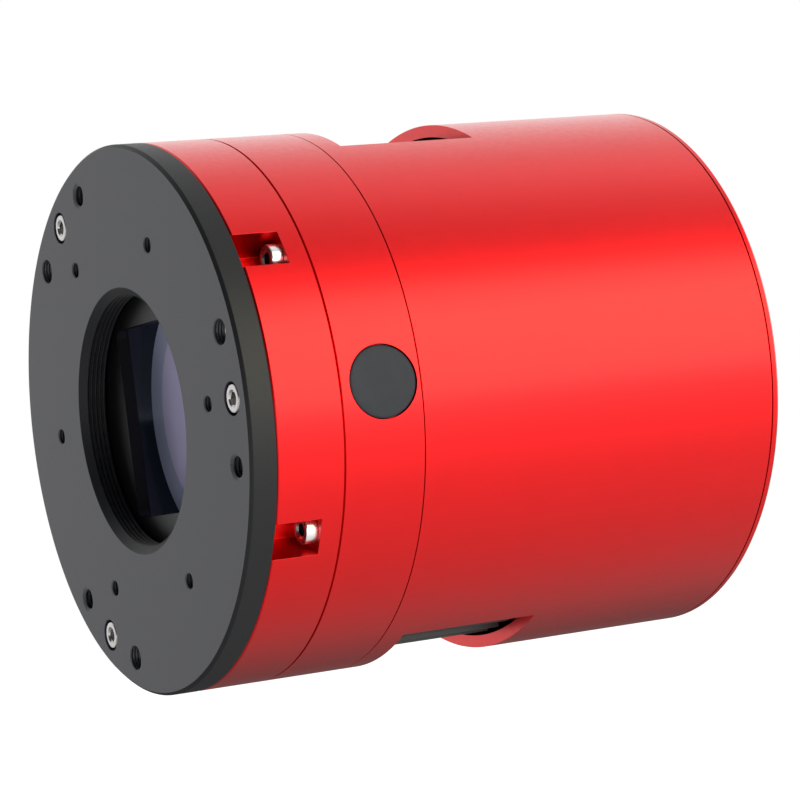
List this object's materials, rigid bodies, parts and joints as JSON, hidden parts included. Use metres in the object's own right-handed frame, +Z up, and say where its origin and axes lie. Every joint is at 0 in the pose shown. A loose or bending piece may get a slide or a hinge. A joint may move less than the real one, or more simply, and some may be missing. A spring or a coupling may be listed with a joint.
{
  "type": "cooled astronomy camera",
  "caption": "Round cooled camera for a telescope: threaded front opening with a tilt plate, sealed sensor chamber, finned cooler with side vents and rear fan.",
  "frame": {"origin": "centre of the front plate's face, on the optical axis", "axes": "+Y runs back along the optical axis, +Z up, +X the side with the desiccant port"},
  "size_m": [0.09, 0.097, 0.09],
  "materials": {
    "red_anodised": "satin, fine bead-blasted, red anodised",
    "black_anodised": "matte black anodised",
    "bright_steel": "bright machined stainless steel",
    "black_plastic": "matte black",
    "black_rubber": "matte",
    "coated_glass": "anti-reflection coated",
    "heater_film": "amber polyimide film",
    "package_ceramic": "matte dark ceramic",
    "silicon": "polished silicon",
    "circuit_board": "green solder mask",
    "nylon": "natural nylon",
    "copper": "machined copper",
    "white_ceramic": "matte alumina",
    "pellet": "bismuth telluride",
    "foam": "closed-cell foam",
    "wire_red": "insulated wire",
    "flex_film": "flexible circuit film",
    "chip": "matte moulded chip",
    "brass_part": "machined brass",
    "magnet": "sintered ferrite",
    "tablet": "white pressed tablet"
  },
  "bodies": {
    "camera": {"front_ring": "red_anodised", "front_ring_screws": "bright_steel", "aperture_baffle": "black_anodised", "window_retainer": "black_anodised", "protective_window": "coated_glass", "window_seal": "black_rubber", "dew_heater": "heater_film", "chamber_ring": "red_anodised", "chamber_seal": "black_rubber", "chamber_screws": "bright_steel", "desiccant_tablets": "tablet", "sensor_package": "package_ceramic", "sensor_die": "silicon", "sensor_cover_glass": "coated_glass", "sensor_board": "circuit_board", "board_connector": "black_plastic", "board_standoffs": "nylon", "board_screws": "bright_steel", "cold_finger": "copper", "insulation_collar": "foam", "tec_cold_plate": "white_ceramic", "tec_elements": "pellet", "tec_hot_plate": "white_ceramic", "tec_leads": "wire_red", "heatsink_base": "black_anodised", "heatsink_fins": "black_anodised", "heatsink_screws": "bright_steel", "sensor_flex": "flex_film", "main_shell": "red_anodised", "main_board": "circuit_board", "board_chips": "chip", "buffer_memory": "chip", "main_standoffs": "brass_part", "main_board_screws": "bright_steel", "fan_frame": "black_plastic", "fan_coil": "copper", "fan_bearing": "brass_part", "fan_screws": "bright_steel", "rear_cover": "red_anodised", "cover_screws": "bright_steel", "usb3_socket": "bright_steel", "usb2_sockets": "bright_steel", "dc_socket": "black_plastic", "dc_pin": "bright_steel"},
    "plate": {"tilt_plate": "black_anodised"},
    "plug": {"desiccant_plug": "black_plastic", "plug_seal": "black_rubber"},
    "fan": {"fan_rotor": "black_plastic", "fan_magnet": "magnet", "fan_shaft": "bright_steel"},
    "pull_1": {"pull_screw_1": "bright_steel"},
    "push_1": {"push_screw_1": "bright_steel"},
    "pull_2": {"pull_screw_2": "bright_steel"},
    "push_2": {"push_screw_2": "bright_steel"},
    "pull_3": {"pull_screw_3": "bright_steel"},
    "push_3": {"push_screw_3": "bright_steel"}
  },
  "joints": [
    {"name": "plate_tilt", "type": "hinge", "parent": "camera", "child": "plate", "pos_m": [0, 0.0045, -0.045], "axis": [1, 0, 0], "range_deg": [0, 0.45]},
    {"name": "fan_spin", "type": "hinge", "parent": "camera", "child": "fan", "pos_m": [0, 0.089, 0.008], "axis": [0, 1, 0], "continuous": true},
    {"name": "plug_slide", "type": "slide", "parent": "camera", "child": "plug", "axis": [1, 0, 0], "range_m": [0, 0.012]},
    {"name": "pull_turn_1", "type": "hinge", "parent": "plate", "child": "pull_1", "pos_m": [0.04, 0.002, 0], "axis": [0, 1, 0], "continuous": true},
    {"name": "push_turn_1", "type": "hinge", "parent": "plate", "child": "push_1", "pos_m": [0.03864, 0.003, 0.01035], "axis": [0, 1, 0], "continuous": true},
    {"name": "pull_turn_2", "type": "hinge", "parent": "plate", "child": "pull_2", "pos_m": [-0.02, 0.002, 0.03464], "axis": [0, 1, 0], "continuous": true},
    {"name": "push_turn_2", "type": "hinge", "parent": "plate", "child": "push_2", "pos_m": [-0.02828, 0.003, 0.02828], "axis": [0, 1, 0], "continuous": true},
    {"name": "pull_turn_3", "type": "hinge", "parent": "plate", "child": "pull_3", "pos_m": [-0.02, 0.002, -0.03464], "axis": [0, 1, 0], "continuous": true},
    {"name": "push_turn_3", "type": "hinge", "parent": "plate", "child": "push_3", "pos_m": [-0.01035, 0.003, -0.03864], "axis": [0, 1, 0], "continuous": true}
  ]
}
